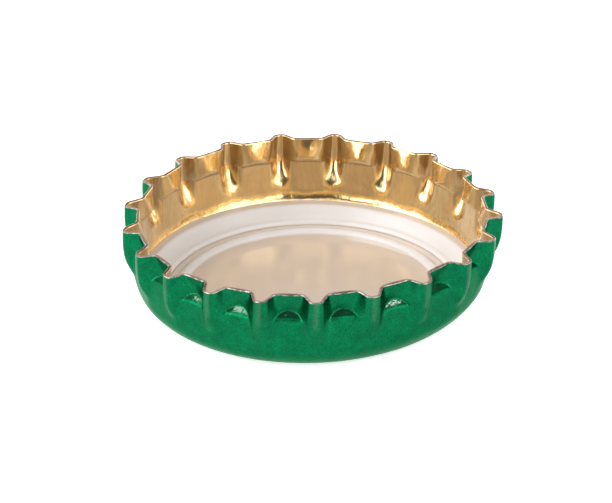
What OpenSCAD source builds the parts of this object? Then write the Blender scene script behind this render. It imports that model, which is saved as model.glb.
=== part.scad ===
// Crown cap: a pressed steel shell with a fluted skirt, and the moulded plastic
// liner inside it. The cap has been crimped and taken off a bottle, and lies on
// its panel with the rim up. Origin: middle of the panel's outer face, +Z to the rim.

/* [Shell] */
// Diameter over the flute tips at the rim
rim_d = 28.6; // [26:0.1:34.4]
// How far the plain wall lies inside the flute tips
wall_in = 0.8; // [0.5:0.05:1.2]
// Height of the rim over the panel's outer face
cap_h = 6.7; // [5.5:0.05:8.1]
// Outside radius of the shoulder between panel and wall
shoulder_r = 3.4; // [2.4:0.1:4.1]
// Thickness of the steel sheet
sheet_t = 0.23; // [0.18:0.01:0.3]

/* [Flutes] */
// Number of flutes round the skirt
flutes = 21; // [17:1:25]
// Depth of the valleys behind the flute tips at the rim
flute_depth = 1.1; // [0.9:0.05:1.4]
// Width of the flat tip of a flute
tip_w = 0.73; // [0.6:0.01:0.9]
// Run round the skirt of each flank of a flute
flank_w = 0.53; // [0.4:0.01:0.7]
// Length of sheet taken up by each bend of a flute
bend_len = 0.2; // [0.1:0.01:0.24]
// How far below the top of the shoulder the flutes start to rise
foot_drop = 0.55; // [0:0.05:0.7]
// How far the flute tips stay below the rim of the valleys
tip_drop = 0.16; // [0:0.01:0.3]

/* [Crease in each valley] */
// Height of the rim over the foot of the crease
crease_drop = 1.95; // [1.6:0.05:2.4]
// Height of the crease's ledge, at the middle of the valley
crease_h = 0.65; // [0.4:0.05:0.8]
// Depth of the dent over the ledge, at the middle of the valley
crease_in = 0.78; // [0.3:0.01:0.94]
// How far the foot of the ledge drops from its middle to its ends
crease_arch = 0.12; // [0:0.01:0.3]

/* [Liner] */
// Thickness of the centre disc
disc_t = 0.15; // [0.1:0.01:0.3]
// Height of the inner bead over the panel
bead_h = 0.5; // [0.3:0.01:0.8]
// Width of the inner bead at the centre disc
bead_w = 1.05; // [0.8:0.05:1.3]
// Gap between the inner bead and the sealing ring
groove_w = 0.15; // [0.1:0.01:0.3]
// Thickness of the sealing ring
ring_t = 0.42; // [0.3:0.01:0.6]
// Angle on the shoulder, from straight down, at which the sealing ring starts
ring_from = 10.5; // [5:0.5:20]
// Angle on the shoulder, from straight down, up to which the sealing ring climbs
ring_to = 49; // [40:1:75]

/* [Hidden] */

$fn = 180;

// Shell
wall_r = rim_d / 2 - wall_in;             // outside of the plain wall
panel_r = wall_r - shoulder_r;            // edge of the flat panel
inner_shoulder_r = shoulder_r - sheet_t;  // inside radius of the shoulder

// Sheet centre line of the fluted skirt
centre_wall_r = wall_r - sheet_t / 2;
centre_tip_r = (rim_d - sheet_t) / 2;
centre_valley_r = centre_tip_r - flute_depth;
centre_shoulder_r = shoulder_r - sheet_t / 2;
foot_z = shoulder_r - foot_drop;          // the flutes rise from here
crease_z = cap_h - crease_drop;

// One flute, as angles round the skirt
pitch = 360 / flutes;
tip_a = asin(tip_w / 2 / centre_tip_r);
flank_a = atan(flank_w / centre_valley_r);
valley_a = tip_a + flank_a;               // where a flank meets its valley
bend_a = atan(bend_len / centre_tip_r);
bend_share = bend_len / norm([flank_w, flute_depth]);

// Liner
ring_mid_r = inner_shoulder_r - ring_t / 2;
ring_foot_r = panel_r + ring_mid_r * sin(ring_from);
bead_mid_r = ring_foot_r - ring_t / 2 - groove_w - bead_w / 2;
bead_rise = bead_h - disc_t;
bead_round_r = (pow(bead_w / 2, 2) + pow(bead_rise, 2)) / (2 * bead_rise);

// ---- Fluted skirt -----------------------------------------------------------

// Stations round one flute: [angle from the flute's middle, share of the flute's height].
half_flute = [
    [tip_a - bend_a, 1],
    [tip_a + bend_share * flank_a, 1 - bend_share],
    [valley_a - bend_share * flank_a, bend_share],
    [valley_a + bend_a, 0],
    [(valley_a + bend_a + pitch / 2) / 2, 0],
];
one_flute = concat(
    [[0, 1]],
    half_flute,
    [[pitch / 2, 0]],
    [for (i = [len(half_flute) - 1 : -1 : 0]) [pitch - half_flute[i][0], half_flute[i][1]]]
);
steps = len(one_flute);
around = flutes * steps;

// The skirt grows out of the pan's sheet: its skins start inside the sheet and cross
// the pan's skins just below the pan's top edge.
root_depth = 0.35;                        // how far down inside the pan's sheet it starts
root_half_t = 0.2 * sheet_t;              // half of its thickness there
seam_h = 0.06;                            // how far its foot lies over the pan's top edge
seam_proud = 0.01;                        // how far its skins clear the pan's at that edge
pan_top_z = foot_z - seam_h;

// [height, half thickness]
root_levels = [
    [foot_z - root_depth, root_half_t],
    [pan_top_z + seam_proud, sheet_t / 2 + seam_proud],
    [foot_z, sheet_t / 2],
];

// Levels above the foot: shares of the way from the foot to the crease, and from the
// top of the crease's ledge to the rim.
wall_levels = [0.2, 0.5, 1];
lip_levels = [0, 0.3, 0.65, 1];
first_wall = len(root_levels);
first_lip = first_wall + len(wall_levels);
levels = first_lip + len(lip_levels);

// 1 in the middle of a valley, falling in a round arch to 0 where the flanks start
arch_power = 1.3;
function hollow(a) =
    let (off = abs((a + pitch) % pitch - pitch / 2), share = off / (pitch / 2 - valley_a))
    share >= 1 ? 0 : pow(1 - share * share, arch_power);

// The ledge is a half-moon: lower towards its ends
least_ledge = 0.25;
function crease_foot(a) = crease_z - crease_arch * (1 - hollow(a));
function crease_top(a) = crease_foot(a) + crease_h * max(least_ledge, hollow(a));

// Height of a level at one station
function level_z(st, level) =
    level < first_wall ? root_levels[level][0] :
    level < first_lip ? foot_z + wall_levels[level - first_wall] * (crease_foot(st[0]) - foot_z) :
    let (top = crease_top(st[0]))
    top + lip_levels[level - first_lip] * (cap_h - tip_drop * st[1] - top);

// Radius of the pan's sheet: the top of the shoulder, then the plain wall
function pan_r(z) =
    z < shoulder_r ? panel_r + sqrt(pow(centre_shoulder_r, 2) - pow(shoulder_r - z, 2)) : centre_wall_r;

// Radius of the flute tips: a steep rise from the pan, then almost upright
ridge_power = 2.5;
function tip_r(z) =
    let (share = max(0, min(1, (z - foot_z) / (cap_h - tip_drop - foot_z))))
    pan_r(z) + (centre_tip_r - pan_r(z)) * (1 - pow(1 - share, ridge_power));

// Radius of the valley floor: the pan, then the ledge, then a lip that opens to the rim
lip_curve = 1.3;
function floor_r(a, z, level) =
    level < first_lip ? pan_r(z) :
    let (up = (z - crease_foot(a)) / (cap_h - crease_foot(a)))
    centre_wall_r - crease_in * hollow(a) * (1 - pow(up, lip_curve)) - (centre_wall_r - centre_valley_r) * up;

// A point on the centre line of the sheet
function sheet_point(i, level) =
    let (k = (i + around) % around, st = one_flute[k % steps], turn = floor(k / steps) * pitch + st[0] - 90,
         z = level_z(st, level), low = floor_r(st[0], z, level), r = low + st[1] * (tip_r(z) - low))
    [r * cos(turn), r * sin(turn), z];

function unit(v) = v / norm(v);

// Outward normal of the sheet; level and straight out at the root, inside the pan's sheet
function sheet_normal(i, level) =
    let (p = sheet_point(i, level))
    level < first_wall ? unit([p[0], p[1], 0]) :
    unit(cross(sheet_point(i + 1, level) - sheet_point(i - 1, level),
               sheet_point(i, min(level + 1, levels - 1)) - sheet_point(i, level - 1)));

function skin_point(i, level, side) =
    let (half_t = level < first_wall ? root_levels[level][1] : sheet_t / 2)
    sheet_point(i, level) + side * half_t * sheet_normal(i, level);

function two_triangles(a, b, c, d) = [[a, b, c], [a, c, d]];

module fluted_skirt() {
    points = [for (side = [1, -1], level = [0 : levels - 1], i = [0 : around - 1]) skin_point(i, level, side)];
    inner = levels * around;
    top = (levels - 1) * around;
    faces = [for (i = [0 : around - 1]) let (j = (i + 1) % around) each concat(
        [for (low = [0 : around : top - around]) each two_triangles(
            low + i, low + around + i, low + around + j, low + j)],
        [for (low = [inner : around : inner + top - around]) each two_triangles(
            low + j, low + around + j, low + around + i, low + i)],
        two_triangles(top + j, top + i, inner + top + i, inner + top + j),
        two_triangles(i, j, inner + j, inner + i)
    )];
    polyhedron(points, faces, convexity = 10);
}

// ---- Panel and shoulder ------------------------------------------------------

module pan_section() {
    square([panel_r, sheet_t]);
    translate([panel_r, shoulder_r]) intersection() {
        difference() {
            circle(shoulder_r);
            circle(inner_shoulder_r);
        }
        translate([0, -shoulder_r]) square([shoulder_r, pan_top_z]);
    }
}

// The space inside the panel and the shoulder, which the liner fills in part
module pan_space() {
    translate([0, sheet_t]) square([panel_r, inner_shoulder_r]);
    translate([panel_r, shoulder_r]) circle(inner_shoulder_r);
}

module shell() {
    color("seagreen") union() {
        rotate_extrude() pan_section();
        fluted_skirt();
    }
}

// ---- Liner ------------------------------------------------------------------

function on_shoulder(r, a) = [panel_r + r * sin(a), shoulder_r - r * cos(a)];

// The sealing ring lies on the shoulder; both of its edges are round
module sealing_ring() {
    reach = 2 * inner_shoulder_r;
    intersection() {
        translate([panel_r, shoulder_r]) difference() {
            circle(inner_shoulder_r);
            circle(inner_shoulder_r - ring_t);
        }
        polygon([
            [panel_r, shoulder_r],
            on_shoulder(reach, ring_from),
            on_shoulder(reach, (ring_from + ring_to) / 2),
            on_shoulder(reach, ring_to)
        ]);
    }
    for (a = [ring_from, ring_to]) translate(on_shoulder(ring_mid_r, a)) circle(ring_t / 2);
}

module inner_bead() {
    intersection() {
        translate([bead_mid_r, sheet_t + bead_h - bead_round_r]) circle(bead_round_r);
        translate([bead_mid_r - bead_w / 2, sheet_t]) square([bead_w, bead_h]);
    }
}

module liner() {
    color("whitesmoke") rotate_extrude() intersection() {
        union() {
            translate([0, sheet_t]) square([ring_foot_r, disc_t]);
            inner_bead();
            sealing_ring();
        }
        pan_space();
    }
}

shell();
liner();
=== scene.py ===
import math

import bmesh
import bpy
from mathutils import Matrix, Vector


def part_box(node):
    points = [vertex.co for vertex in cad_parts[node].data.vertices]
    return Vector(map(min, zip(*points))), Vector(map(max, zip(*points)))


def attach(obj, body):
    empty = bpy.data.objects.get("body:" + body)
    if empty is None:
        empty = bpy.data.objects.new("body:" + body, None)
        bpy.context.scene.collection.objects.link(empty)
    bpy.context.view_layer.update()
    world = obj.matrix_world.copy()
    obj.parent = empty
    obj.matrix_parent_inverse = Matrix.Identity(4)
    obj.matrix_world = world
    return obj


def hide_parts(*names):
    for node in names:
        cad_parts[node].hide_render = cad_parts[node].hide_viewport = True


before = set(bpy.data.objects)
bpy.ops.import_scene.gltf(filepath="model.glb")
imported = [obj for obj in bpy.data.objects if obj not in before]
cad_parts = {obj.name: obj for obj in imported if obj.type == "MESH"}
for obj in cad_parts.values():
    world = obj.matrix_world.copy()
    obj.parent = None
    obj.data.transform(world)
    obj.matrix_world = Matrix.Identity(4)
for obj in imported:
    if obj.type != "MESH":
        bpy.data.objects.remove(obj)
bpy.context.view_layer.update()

# ---- Sizes --------------------------------------------------------------------
# The cap lies on its panel, rim up, as the frame does. Lengths are in metres, and
# radii of the shell are of the middle of its sheet.

MM = 0.001
shell_low, shell_high = (Vector(corner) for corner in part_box("shell"))

FLUTES = 21
RIM_R = -shell_low.y              # the tip of flute 0 points along -Y
CAP_H = shell_high.z
SHEET = 0.23 * MM                 # thickness of the steel
TIP_R = RIM_R - SHEET / 2
WALL_R = TIP_R - 0.8 * MM
VALLEY_R = TIP_R - 1.1 * MM
SHOULDER_R = 3.4 * MM - SHEET / 2
PANEL_R = WALL_R - SHOULDER_R
PITCH = math.tau / FLUTES
FRONT = -math.pi / 2              # the direction of flute 0
STEPS = FLUTES * 26               # steps round the shell

# Flutes, measured along the rim
TIP_HALF = 0.365 * MM             # half of a flute's flat tip at the rim
TIP_FOOT = 0.24 * MM              # and at its foot
FLANK = 0.53 * MM                 # run of each flank at the rim
FLANK_FOOT = 0.46 * MM            # and at its foot
SOFT = 0.12 * MM                  # softness of a flute's bends at the rim
SOFT_FOOT = 0.45 * MM             # and at its foot
TIP_DROP = 0.16 * MM              # tips stay below the rim of the valleys
FLUTE_FOOT = 2.9 * MM             # height where the flutes start to rise
FOOT_SOFT = 0.3 * MM              # how gently they start
RIDGE_FALL = 2.8                  # how quickly a ridge turns upright

# The wall is pressed flat under the creases, and leans out a little towards the rim
PRESS_Z = 2.15 * MM
PRESS_R = WALL_R - 0.27 * MM      # its radius at that height
PRESS_LEAN = 0.102                # outward for each rise
PRESS_SOFT = 0.12 * MM
PRESS_LEAST = 0.8                 # share of it that reaches under the flutes
SKIRT_FROM = PRESS_Z - 0.5 * MM   # the plain pan turns into the skirt between
SKIRT_FULL = PRESS_Z - 0.2 * MM   # these heights

# The crease pressed across each valley: a fold, a ledge over it, and a lip up to the rim
CREASE_Z = CAP_H - 1.95 * MM      # height of the fold
CREASE_IN = 0.74 * MM             # depth of the dent at the fold, if the ledge were sharp
CREASE_BOW = 0.9                  # how full the dent is from side to side
CREASE_CURVE = 1.15               # how the dent opens towards the rim
CREASE_SLOPE = 1.45               # inward run of the ledge for each rise
CREASE_ARCH = 0.12 * MM           # how far the fold drops towards its ends
ARCH_REACH = 5 / 3 * MM           # height over and under the fold that drops with it
FOLD_SOFT = 0.07 * MM             # softness of the fold
LIP_SOFT = 0.1 * MM               # softness where the ledge meets the lip
RING_STEP = 0.07 * MM             # height between the mesh's rings round the fold

# The cut rim
BURR = 0.045 * MM                 # bright corner where the paint ends
ROLLED = 0.055 * MM               # rounded corner where the lacquer ends

# Paint rubbed glossy by the crimping tool
GLOSS_START = 0.06 * MM           # clearance of the gloss over the fold and under the lip
GLOSS_OVER_FOLD = 0.18 * MM       # it is full this far over the fold
GLOSS_UNDER_LIP = 0.2 * MM        # and this deep under the lip
CREST_GLOSS = 0.5                 # share of it on the crests of the flutes
CREST_HALF = 0.15 * MM            # half width of a glossy crest
CREST_FROM = FLUTE_FOOT + 1.4 * MM
CREST_FULL = FLUTE_FOOT + 2.2 * MM

# Painted shade on the lacquer: a darker colour along the folds and on the flanks
FOLD_LINE = 0.1 * MM              # half width of the painted shade line along the fold
FOLD_ENDS = 0.4                   # how little the line fades towards its ends
FLANK_SHADE = 0.5                  # share of the painted shade on the flanks
FLANK_SHADE_FROM = FLUTE_FOOT + 0.6 * MM

# Slight bend left by the opener
SADDLE = (-0.019 * MM, -0.164 * MM)   # up and down twice round the rim
LEAN = (-0.01 * MM, 0.04 * MM)        # rim tilted along X and Y
OVAL = (-0.0086, -0.0183)             # shares of the radius
RIM_SHIFT = 0.38 * MM                 # rim moved along X against the panel
BEND_FULL = 1.5 * MM                  # the panel stays flat below this height

# The liner lies on the panel and on the inside of the shoulder
INNER_R = SHOULDER_R - SHEET / 2
INNER_Z = SHEET + INNER_R         # height of the centre of the shoulder's arc
DISC_T = 0.15 * MM
BEAD_IN = 9.42 * MM
BEAD_OUT = 10.3 * MM
BEAD_H = 0.26 * MM
BEAD_BOW = 0.7                    # below 1, the bead's top is flatter than a sine
GROOVE_T = 0.22 * MM
GROOVE_TURNS = (13.5, 5.5)        # from the ring to the bead
RING_T = 0.36 * MM
RING_FROM = 18.5                  # turns on the shoulder's arc are in degrees
RING_TO = 46
RING_RIDGE = 0.05 * MM            # how far the ring's inner edge stands proud
RIDGE_TURN = RING_FROM + 2
RIDGE_SPREAD = 3.5
FLASH_T = 0.03 * MM               # the ring thins to a flash that ends at the next turn
FLASH_TO = 57
LINER_STEPS = 252


# ---- Small helpers ------------------------------------------------------------

def blend_in(value, low, high):
    """0 up to low, 1 from high on, smooth between."""
    share = min(1.0, max(0.0, (value - low) / (high - low)))
    return share * share * (3 - 2 * share)


def soft_ramp(value, soft):
    """0 below zero and the value above it, with a soft corner."""
    return (value + math.hypot(value, soft)) / 2


def soft_least(first, second, soft):
    """The smaller of two values, with a soft corner where they cross."""
    return (first + second - math.hypot(first - second, soft)) / 2


def arc_point(centre_r, centre_z, radius, turn):
    """Point on an arc in a lathe section; 0 degrees is straight down, 90 straight out."""
    angle = math.radians(turn)
    return centre_r + radius * math.sin(angle), centre_z - radius * math.cos(angle)


def arc_points(centre_r, centre_z, radius, start, end, count):
    """Points on an arc in a lathe section, from one turn to another."""
    turns = [start + (end - start) * i / count for i in range(count + 1)]
    return [arc_point(centre_r, centre_z, radius, turn) for turn in turns]


def spun(section, steps):
    """A lathe form: the section's points, as radius and height, turned about Z."""
    form = bmesh.new()
    points = [form.verts.new((radius, 0, height)) for radius, height in section]
    edges = [form.edges.new(pair) for pair in zip(points, points[1:])]
    bmesh.ops.spin(form, geom=points + edges, axis=(0, 0, 1), cent=(0, 0, 0), dvec=(0, 0, 0),
                   angle=math.tau, steps=steps, use_merge=True, use_duplicate=False)
    bmesh.ops.remove_doubles(form, verts=form.verts, dist=0.001 * MM)
    bmesh.ops.recalc_face_normals(form, faces=form.faces)
    return form


def as_object(name, form, materials):
    """Turns a bmesh into a smooth-shaded object with the given materials."""
    mesh = bpy.data.meshes.new(name)
    form.to_mesh(mesh)
    form.free()
    for material in materials:
        mesh.materials.append(material)
    for face in mesh.polygons:
        face.use_smooth = True
    piece = bpy.data.objects.new(name, mesh)
    bpy.context.collection.objects.link(piece)
    return piece


# ---- The bend of the whole cap ------------------------------------------------

def bent(radius, turn, height):
    """Where a point of the straight cap lies on the slightly bent one."""
    reach = radius / RIM_R
    rise = height / CAP_H
    lift = blend_in(height, 0, BEND_FULL)
    saddle = SADDLE[0] * math.cos(2 * turn) + SADDLE[1] * math.sin(2 * turn)
    lean = LEAN[0] * math.cos(turn) + LEAN[1] * math.sin(turn)
    radius *= 1 + OVAL[0] * math.cos(2 * turn) + OVAL[1] * math.sin(2 * turn)
    height += saddle * reach * reach * lift + lean * reach * rise
    return radius * math.cos(turn) + RIM_SHIFT * rise, radius * math.sin(turn), height


# ---- Shell --------------------------------------------------------------------

PAINT, LACQUER, CUT, BARE = range(4)    # the shell's materials, in order


def off_flute(turn):
    """Angle from a direction to the middle of the nearest flute."""
    return abs((turn - FRONT + PITCH / 2) % PITCH - PITCH / 2)


def flute_share(off, tip_half, run, soft):
    """1 on a flute's tip and 0 in a valley, for an angle off the flute's middle."""
    inward = tip_half + run - off * TIP_R
    share = (soft_ramp(inward, soft) - soft_ramp(inward - run, soft)) / run
    return min(1.0, max(0.0, share))


def hollow(off):
    """1 in the middle of a valley, 0 where the flanks start."""
    flank_end = (TIP_HALF + FLANK) / TIP_R
    share = (PITCH / 2 - off) / (PITCH / 2 - flank_end)
    return (1 - share * share) ** CREASE_BOW if share < 1 else 0.0


def pan_radius(height):
    """Radius of the plain pan's wall, with the shoulder below it."""
    down = SHEET / 2 + SHOULDER_R - height
    return PANEL_R + math.sqrt(SHOULDER_R ** 2 - down ** 2) if down > 0 else WALL_R


def crease_depths(over_fold, depth):
    """How far in the crease's ledge and the lip over it lie, at a height over the fold."""
    up = max(0.0, over_fold / (CAP_H - CREASE_Z))
    lip = CREASE_IN * depth * (1 - up ** CREASE_CURVE) + (WALL_R - VALLEY_R) * up
    return CREASE_SLOPE * soft_ramp(over_fold, FOLD_SOFT), lip


def polish(turn, height):
    """How glossy the paint is: 1 on the ledges of the creases, less on the flutes' crests."""
    off = off_flute(turn)
    over_fold = height - CREASE_Z
    ledge, lip = crease_depths(over_fold, hollow(off))
    on_ledge = (blend_in(over_fold, GLOSS_START, GLOSS_OVER_FOLD)
                * blend_in(lip - ledge, GLOSS_START, GLOSS_UNDER_LIP))
    on_crest = (CREST_GLOSS * (1 - blend_in(off * TIP_R, 0, CREST_HALF))
                * blend_in(height, CREST_FROM, CREST_FULL))
    return max(on_ledge, on_crest)


def fold_shade(turn, height):
    """Share of painted shade on the lacquer: 1 along the fold of each crease, less on the flanks."""
    off = off_flute(turn)
    crease = hollow(off) ** FOLD_ENDS * math.exp(-((height - CREASE_Z) / FOLD_LINE) ** 2)
    share = flute_share(off, TIP_HALF, FLANK, SOFT)
    # painted shade on the flanks, strongest halfway across each flank
    flank = 4 * share * (1 - share) * blend_in(height, FLANK_SHADE_FROM, CREASE_Z)
    return max(crease, FLANK_SHADE * flank)


def skirt_point(turn, height):
    """Radius and height of one place on the skirt, for a height on the plain pan."""
    off = off_flute(turn)
    rise = min(1.0, soft_ramp(height - FLUTE_FOOT, FOOT_SOFT) / (CAP_H - FLUTE_FOOT))
    ridge = 1 - (1 - rise) ** RIDGE_FALL
    share = flute_share(off, TIP_FOOT + (TIP_HALF - TIP_FOOT) * ridge,
                        FLANK_FOOT + (FLANK - FLANK_FOOT) * ridge,
                        SOFT_FOOT + (SOFT - SOFT_FOOT) * ridge)
    depth = hollow(off)
    wall_r = pan_radius(height)
    pressed = soft_ramp(wall_r - PRESS_R - PRESS_LEAN * (height - PRESS_Z), PRESS_SOFT)
    wall_r -= pressed * (PRESS_LEAST + (1 - PRESS_LEAST) * depth)
    over_fold = height - CREASE_Z
    ledge, lip = crease_depths(over_fold, depth)
    valley_r = wall_r - max(0.0, soft_least(ledge, lip, LIP_SOFT))
    ridge_r = wall_r + (TIP_R - wall_r) * ridge
    arch = CREASE_ARCH * (1 - depth) * max(0.0, 1 - abs(over_fold) / ARCH_REACH)
    return valley_r + share * (ridge_r - valley_r), height - arch - TIP_DROP * share * rise


def shell_section():
    """The plain pan, from the middle of the panel to the rim."""
    # Its points are close where the flutes start and round the crease
    floor = SHEET / 2
    panel = [(PANEL_R * i / 6, floor) for i in range(6)]
    shoulder = arc_points(PANEL_R, floor + SHOULDER_R, SHOULDER_R, 0, 50, 8)
    shoulder += arc_points(PANEL_R, floor + SHOULDER_R, SHOULDER_R, 52, 90, 19)
    to_shoulder = CREASE_Z - shoulder[-1][1]
    heights = [CREASE_Z - to_shoulder * share for share in (0.85, 0.65, 0.45, 0.3)]
    heights += [CREASE_Z + RING_STEP * i for i in range(-3, 13)]
    lip_from = heights[-1]
    heights += [lip_from + (CAP_H - lip_from) * i / 9 for i in range(1, 10)]
    return panel + shoulder + [(WALL_R, height) for height in heights]


def shape_shell(form):
    """Moves the plain pan's rings out into flutes and creases, then bends the cap."""
    polish_layer = form.verts.layers.float.new("polish")
    fold_shade_layer = form.verts.layers.float.new("fold")
    for vert in form.verts:
        radius = math.hypot(vert.co.x, vert.co.y)
        turn = math.atan2(vert.co.y, vert.co.x)
        height = vert.co.z
        if height > SKIRT_FROM:
            fluted_r, fluted_z = skirt_point(turn, height)
            vert[polish_layer] = polish(turn, height)
            # painted shade along each fold and on the flanks, stored for the lacquer's colour
            vert[fold_shade_layer] = fold_shade(turn, height)
            share = blend_in(height, SKIRT_FROM, SKIRT_FULL)
            radius += (fluted_r - radius) * share
            height += (fluted_z - height) * share
        vert.co = bent(radius, turn, height)


def round_corner(form, cut, skin, rounding, material_index):
    """Rounds the cut rim's corner with one skin, with a crisp line on each side."""
    corner = [edge for edge in form.edges
              if sum(face in cut for face in edge.link_faces) == 1
              and any(face in skin for face in edge.link_faces)]
    rounded = bmesh.ops.bevel(form, geom=corner, offset=rounding, affect="EDGES", segments=3,
                              profile=0.5, material=-1)
    strip = set(rounded["faces"])
    for face in strip:
        face.material_index = material_index
    for edge in form.edges:
        if sum(face in strip for face in edge.link_faces) == 1:
            edge.smooth = False


def thicken(form):
    """Gives the sheet its thickness: painted skin outside, lacquered skin inside, cut rim."""
    painted = set(form.faces)
    form.normal_update()
    for vert in form.verts:
        vert.co += vert.normal * vert.calc_shell_factor() * SHEET / 2
    inner = bmesh.ops.solidify(form, geom=form.faces[:], thickness=SHEET)["geom"]
    lacquered = {item for item in inner if isinstance(item, bmesh.types.BMFace)}
    cut = set(form.faces) - painted - lacquered
    for faces, material_index in ((painted, PAINT), (lacquered, LACQUER), (cut, CUT)):
        for face in faces:
            face.material_index = material_index
    round_corner(form, cut, painted, BURR, BARE)
    round_corner(form, cut, lacquered, ROLLED, LACQUER)


def make_shell():
    form = spun(shell_section(), STEPS)
    shape_shell(form)
    thicken(form)
    shell = as_object("shell_skin", form,
                      [green_enamel(), gold_lacquer(), cut_steel(), bare_steel()])
    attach(shell, "root")
    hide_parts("shell")


# ---- Liner --------------------------------------------------------------------

def ring_thickness(turn):
    """Thickness of the sealing ring at a turn on the shoulder: a ridge, a body and a flash."""
    ridge = RING_RIDGE * math.exp(-((turn - RIDGE_TURN) / RIDGE_SPREAD) ** 2)
    thinned = blend_in(turn, RING_TO, FLASH_TO)
    return (RING_T + ridge) * (1 - thinned) + FLASH_T * thinned


def ring_section():
    """The sealing ring's face, from the end of the flash down to its rounded inner edge."""
    turns = [FLASH_TO - (FLASH_TO - RING_FROM) * i / 28 for i in range(29)]
    face = [arc_point(PANEL_R, INNER_Z, INNER_R - ring_thickness(turn), turn) for turn in turns]
    edge_centre = arc_point(PANEL_R, INNER_Z, INNER_R - RING_T / 2, RING_FROM)
    return face + arc_points(*edge_centre, RING_T / 2, RING_FROM + 190, RING_FROM + 290, 7)


def bead_section():
    """The inner bead, from the groove to the disc."""
    disc_z = SHEET + DISC_T
    points = []
    for i in range(1, 16):
        share = i / 16
        foot_z = disc_z + (GROOVE_T - DISC_T) * (1 - share)
        points.append((BEAD_OUT + (BEAD_IN - BEAD_OUT) * share,
                       foot_z + BEAD_H * math.sin(math.pi * share) ** BEAD_BOW))
    return points


def liner_section():
    """The liner's closed section: under the disc, up the shoulder, and back over the ring."""
    under = [(PANEL_R * i / 4, SHEET) for i in range(5)]
    outer = arc_points(PANEL_R, INNER_Z, INNER_R, 4, FLASH_TO, 16)
    groove = arc_points(PANEL_R, INNER_Z, INNER_R - GROOVE_T, *GROOVE_TURNS, 4)
    disc = [(BEAD_IN * (1 - i / 6), SHEET + DISC_T) for i in range(7)]
    return under + outer + ring_section() + groove + bead_section() + disc


def plastic_depth(radius, height):
    """Thickness of plastic under a point of the liner's upper face."""
    out = radius - PANEL_R
    if out <= 0:
        return height - SHEET
    return INNER_R - math.hypot(out, INNER_Z - height)


def make_liner():
    form = spun(liner_section(), LINER_STEPS)
    depth_layer = form.verts.layers.float.new("depth")
    for vert in form.verts:
        radius = math.hypot(vert.co.x, vert.co.y)
        turn = math.atan2(vert.co.y, vert.co.x)
        vert[depth_layer] = plastic_depth(radius, vert.co.z) / RING_T
        vert.co = bent(radius, turn, vert.co.z)
    liner = as_object("liner_plastic", form, [liner_plastic()])
    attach(liner, "root")
    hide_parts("liner")


# ---- Parts of materials ---------------------------------------------------------

def plain_material(name, color, metallic, roughness):
    """A material with its node tree and its shader."""
    material = bpy.data.materials.new(name)
    material.use_nodes = True
    shader = material.node_tree.nodes["Principled BSDF"]
    shader.inputs["Base Color"].default_value = (*color, 1)
    shader.inputs["Metallic"].default_value = metallic
    shader.inputs["Roughness"].default_value = roughness
    return material, material.node_tree, shader


def add_node(tree, kind, sockets, **settings):
    """Adds a node with its settings; each named socket gets a plain value or a link."""
    node = tree.nodes.new(kind)
    for name, value in settings.items():
        setattr(node, name, value)
    for name, value in sockets.items():
        if isinstance(value, bpy.types.NodeSocket):
            tree.links.new(value, node.inputs[name])
        else:
            node.inputs[name].default_value = value
    return node


def combined(tree, operation, first, second):
    """The result of a calculation on two values or sockets."""
    return add_node(tree, "ShaderNodeMath", {0: first, 1: second}, operation=operation).outputs[0]


def attribute(tree, name):
    """A value stored on the piece's points."""
    return add_node(tree, "ShaderNodeAttribute", {}, attribute_name=name).outputs["Fac"]


def coordinates(tree, kind):
    """Object or Generated coordinates."""
    return tree.nodes.new("ShaderNodeTexCoord").outputs[kind]


def upward(tree, kind):
    """The Z part of a coordinate."""
    return add_node(tree, "ShaderNodeSeparateXYZ", {"Vector": coordinates(tree, kind)}).outputs["Z"]


def remapped(tree, value, low, high, first, second, **settings):
    """A value that goes from first to second as the given one goes from low to high."""
    sockets = {"Value": value, "From Min": low, "From Max": high, "To Min": first, "To Max": second}
    return add_node(tree, "ShaderNodeMapRange", sockets, **settings).outputs["Result"]


def stretched_noise(tree, across, along, detail):
    """Noise with features of the given sizes across the wall and along Z, from 0 to 1."""
    scale = (1 / across, 1 / across, 1 / along)
    place = add_node(tree, "ShaderNodeVectorMath", {0: coordinates(tree, "Object"), 1: scale},
                     operation="MULTIPLY").outputs["Vector"]
    sockets = {"Vector": place, "Scale": 1, "Detail": detail}
    return add_node(tree, "ShaderNodeTexNoise", sockets).outputs["Fac"]


def shade_between(tree, value, low, high, first, second):
    """A colour that goes from the first to the second as the value goes from low to high."""
    ramp = add_node(tree, "ShaderNodeValToRGB", {"Fac": value})
    for element, position, color in zip(ramp.color_ramp.elements, (low, high), (first, second)):
        element.position = position
        element.color = (*color, 1)
    return ramp.outputs["Color"]


def mixed(tree, share, first, second, blend_type="MIX"):
    """The first colour, with a share of the second mixed in or multiplied on."""
    sockets = {"Fac": share, "Color1": first, "Color2": second}
    return add_node(tree, "ShaderNodeMixRGB", sockets, blend_type=blend_type).outputs["Color"]


def bumped(tree, height, depth, earlier=None):
    """Normals bumped to the given depth, on top of an earlier bump."""
    sockets = {"Height": height, "Strength": 1, "Distance": depth}
    if earlier is not None:
        sockets["Normal"] = earlier
    return add_node(tree, "ShaderNodeBump", sockets).outputs["Normal"]


# ---- Materials ----------------------------------------------------------------

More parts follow.
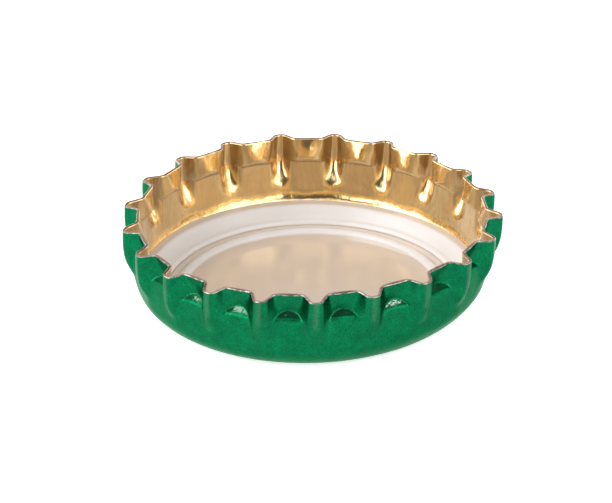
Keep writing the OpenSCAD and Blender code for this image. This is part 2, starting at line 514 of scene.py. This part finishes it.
def green_enamel():
    """Transparent green paint over steel, finely grained and patchy, glossy where it is rubbed."""
    material, tree, shader = plain_material("green_enamel", (0.0, 0.2, 0.07), 0.95, 0.33)
    shader.inputs["Specular Tint"].default_value = (0.5, 0.76, 0.6, 1)
    grain = stretched_noise(tree, 0.09 * MM, 0.09 * MM, 2)
    shade = shade_between(tree, grain, 0.3, 0.72, (0.0, 0.075, 0.027), (0.0, 0.185, 0.066))
    patches = stretched_noise(tree, 0.8 * MM, 0.9 * MM, 3)
    thin = shade_between(tree, patches, 0.32, 0.68, (0.74, 0.74, 0.77), (1.0, 1.0, 1.0))
    tree.links.new(mixed(tree, 1.0, shade, thin, "MULTIPLY"), shader.inputs["Base Color"])
    peel = bumped(tree, stretched_noise(tree, 0.6 * MM, 0.9 * MM, 1), 0.03 * MM)
    tree.links.new(bumped(tree, grain, 0.002 * MM, peel), shader.inputs["Normal"])
    add_gloss(tree, shader)
    return material


def add_gloss(tree, shader):
    """The clear, slightly rippled gloss of the rubbed paint."""
    shader.inputs["Coat Roughness"].default_value = 0.05
    shader.inputs["Coat IOR"].default_value = 1.8
    weight = remapped(tree, attribute(tree, "polish"), 0, 1, 0.02, 1.0)
    tree.links.new(weight, shader.inputs["Coat Weight"])
    ripple = bumped(tree, stretched_noise(tree, 0.3 * MM, 0.16 * MM, 1), 0.03 * MM)
    tree.links.new(ripple, shader.inputs["Coat Normal"])


def gold_lacquer():
    """Clear gold lacquer over drawn steel, with painted shade in the bends, and lines that run up the
    wall.
    """
    material, tree, shader = plain_material("gold_lacquer", (0.64, 0.44, 0.18), 0.94, 0.17)
    shader.inputs["Coat Weight"].default_value = 1.0
    shader.inputs["Coat Roughness"].default_value = 0.16
    shader.inputs["Coat IOR"].default_value = 1.7
    lines = stretched_noise(tree, 0.16 * MM, 1.6 * MM, 3)
    shade = shade_between(tree, lines, 0.25, 0.75, (0.6, 0.415, 0.165), (0.76, 0.54, 0.24))
    # Painted shade: dark brown mixed into the lacquer along the folds and on the flanks
    shade = mixed(tree, attribute(tree, "fold"), shade, (0.2, 0.09, 0.015, 1))
    tree.links.new(shade, shader.inputs["Base Color"])
    waves = bumped(tree, stretched_noise(tree, 0.8 * MM, 1.1 * MM, 1), 0.05 * MM)
    smoother = remapped(tree, upward(tree, "Object"), CREASE_Z - 0.1 * MM, CREASE_Z + 0.3 * MM,
                        1.0, 0.35)
    relief = combined(tree, "MULTIPLY", lines, smoother)
    tree.links.new(bumped(tree, relief, 0.012 * MM, waves), shader.inputs["Normal"])
    return material


def cut_steel():
    """The sheared face of the sheet, dull and slightly rusty."""
    material, tree, shader = plain_material("cut_steel", (0.23, 0.14, 0.1), 0.9, 0.45)
    grain = stretched_noise(tree, 0.08 * MM, 0.08 * MM, 3)
    shade = shade_between(tree, grain, 0.35, 0.65, (0.12, 0.06, 0.035), (0.36, 0.23, 0.165))
    tree.links.new(shade, shader.inputs["Base Color"])
    return material


def bare_steel():
    """The corner where the paint ends, bright in places."""
    material, tree, shader = plain_material("bare_steel", (0.6, 0.56, 0.53), 1.0, 0.3)
    grain = stretched_noise(tree, 0.35 * MM, 0.35 * MM, 3)
    shade = shade_between(tree, grain, 0.4, 0.6, (0.13, 0.105, 0.095), (0.5, 0.46, 0.44))
    tree.links.new(shade, shader.inputs["Base Color"])
    return material


def liner_plastic():
    """Milky plastic: whitish where it is thick, tan and glossier where it is thin."""
    material, tree, shader = plain_material("liner_plastic", (0.82, 0.78, 0.74), 0.0, 0.3)
    depth = attribute(tree, "depth")
    shade = shade_between(tree, depth, 0.42, 0.85, (0.64, 0.525, 0.43), (0.77, 0.74, 0.735))
    tree.links.new(shade, shader.inputs["Base Color"])
    tree.links.new(remapped(tree, depth, 0.4, 0.8, 0.17, 0.3), shader.inputs["Roughness"])
    waves = bumped(tree, stretched_noise(tree, 1.1 * MM, 1.1 * MM, 2), 0.012 * MM)
    tree.links.new(waves, shader.inputs["Normal"])
    return material


# ---- Stage: floor, lights and camera --------------------------------------------

FLOOR_GLOW = 0.68                 # added to what the floor shows, so that it reads as white
WORLD_LIGHT = 0.6                 # strength of the world as a light
WORLD_FADE = (24, 32)             # elevations between which it goes dark, except to the camera
WORLD_DARK = 0.1                  # share of its strength that is left over them
CAMERA_FROM = (-0.32, 26.69)      # azimuth and elevation in degrees
CAMERA_DISTANCE = 500 * MM
CAMERA_AT = (-0.17 * MM, 0, 3.69 * MM)
CAMERA_ROLL = -2.15
CAMERA_LENS = 393.5               # for a sensor 36 wide
LAMP_DISTANCE = 700 * MM
CARD_DISTANCE = 900 * MM
LAMPS_AT = (0, 0, 3 * MM)         # the point that the lamps and cards face

# Name, azimuth, elevation, width and height in degrees as seen from the cap, radiance
LAMPS = (
    ("left softbox", -90, 20, 52, 38, 1.95),
    ("left core", -70, 28, 24, 24, 2.6),
    ("left glint", -112, 59, 44, 22, 4.2),
    ("left low", -51, 8, 40, 24, 3.8),
    ("right softbox", 48, 36, 50, 26, 1.5),
    ("right core", 52, 34, 20, 14, 2.4),
    ("right glint", 84, 64, 16, 8, 7.0),
    ("right low", 36, 8, 48, 24, 2.8),
    ("right back", 108, 9, 44, 20, 1.8),
    ("back softbox", 180, 12, 100, 24, 2.0),
    ("top left", -48, 43, 38, 19, 2.4),
    ("top right", 17, 43, 50, 19, 2.0),
)
CARDS = (
    ("upper card", -12, 25.5, 50, 15),
    ("lower card", -9, 8.5, 42, 19),
)


def seen_share(tree):
    """1 for rays that see the background directly, mirrored or through glass, 0 for others."""
    path = tree.nodes.new("ShaderNodeLightPath")
    share = combined(tree, "MAXIMUM", path.outputs["Is Camera Ray"], path.outputs["Is Glossy Ray"])
    return combined(tree, "MAXIMUM", share, path.outputs["Is Transmission Ray"])


def make_floor():
    """Pale floor that is seen as white and keeps the cap's shadow."""
    bpy.ops.mesh.primitive_plane_add(size=6)
    floor = bpy.context.object
    floor.name = "floor"
    material, tree, shader = plain_material("floor_white", (0.93, 0.93, 0.93), 0.0, 0.9)
    shader.inputs["Specular IOR Level"].default_value = 0
    shader.inputs["Emission Color"].default_value = (1, 1, 1, 1)
    glow = combined(tree, "MULTIPLY", seen_share(tree), FLOOR_GLOW)
    tree.links.new(glow, shader.inputs["Emission Strength"])
    floor.data.materials.append(material)


def make_world():
    """White to the camera, and to metal that mirrors its lower part; dimmer as a light."""
    world = bpy.data.worlds.new("studio")
    world.use_nodes = True
    tree = world.node_tree
    level = remapped(tree, seen_share(tree), 0, 1, WORLD_LIGHT, 1.0)
    low, high = (math.sin(math.radians(elevation)) for elevation in WORLD_FADE)
    fade = remapped(tree, upward(tree, "Generated"), low, high, 1.0, WORLD_DARK,
                    interpolation_type="SMOOTHSTEP")
    strength = combined(tree, "MULTIPLY", level, fade)
    camera_ray = tree.nodes.new("ShaderNodeLightPath").outputs["Is Camera Ray"]
    background = tree.nodes["Background"]
    background.inputs["Color"].default_value = (1, 1, 1, 1)
    tree.links.new(combined(tree, "MAXIMUM", strength, camera_ray), background.inputs["Strength"])
    bpy.context.scene.world = world


def direction(azimuth, elevation):
    """Unit vector from the cap: azimuth 0 is towards -Y, 90 towards +X."""
    turn, rise = math.radians(azimuth), math.radians(elevation)
    return Vector((math.cos(rise) * math.sin(turn), -math.cos(rise) * math.cos(turn), math.sin(rise)))


def aim(thing, place, target, roll=0):
    """Puts a camera, lamp or card at a place, pointing at the target."""
    back = (Vector(place) - Vector(target)).normalized()
    thing.matrix_world = (Matrix.Translation(place) @ back.to_track_quat("Z", "Y").to_matrix().to_4x4()
                          @ Matrix.Rotation(roll, 4, "Z"))


def spanned(angle, distance):
    """Length that spans an angle in degrees, seen from a distance."""
    return 2 * distance * math.tan(math.radians(angle / 2))


def make_camera():
    data = bpy.data.cameras.new("camera")
    data.lens = CAMERA_LENS
    data.sensor_width = 36
    data.clip_start = 0.01
    camera = bpy.data.objects.new("camera", data)
    bpy.context.collection.objects.link(camera)
    aim(camera, direction(*CAMERA_FROM) * CAMERA_DISTANCE, CAMERA_AT, math.radians(CAMERA_ROLL))
    bpy.context.scene.camera = camera


def softbox(name, azimuth, elevation, wide, high, glow):
    """A rectangular lamp that spans the given angles from the cap; glow is its radiance."""
    data = bpy.data.lights.new(name, "AREA")
    data.shape = "RECTANGLE"
    data.size = spanned(wide, LAMP_DISTANCE)
    data.size_y = spanned(high, LAMP_DISTANCE)
    data.energy = glow * math.pi * data.size * data.size_y
    lamp = bpy.data.objects.new(name, data)
    lamp.visible_camera = False
    bpy.context.collection.objects.link(lamp)
    aim(lamp, direction(azimuth, elevation) * LAMP_DISTANCE, LAMPS_AT)


def dark_card(name, azimuth, elevation, wide, high, material):
    """Stands behind or below the camera, so that the metal has something dark to mirror."""
    bpy.ops.mesh.primitive_plane_add(size=1)
    card = bpy.context.object
    card.name = name
    for vert in card.data.vertices:
        vert.co.x *= spanned(wide, CARD_DISTANCE)
        vert.co.y *= spanned(high, CARD_DISTANCE)
    aim(card, direction(azimuth, elevation) * CARD_DISTANCE, LAMPS_AT)
    card.visible_camera = False
    card.data.materials.append(material)


def make_stage():
    bpy.context.scene.view_settings.view_transform = "Standard"
    make_floor()
    make_world()
    make_camera()
    card_black = plain_material("card_black", (0.05, 0.05, 0.05), 0.0, 0.9)[0]
    for card in CARDS:
        dark_card(*card, card_black)
    for lamp in LAMPS:
        softbox(*lamp)


make_shell()
make_liner()
make_stage()
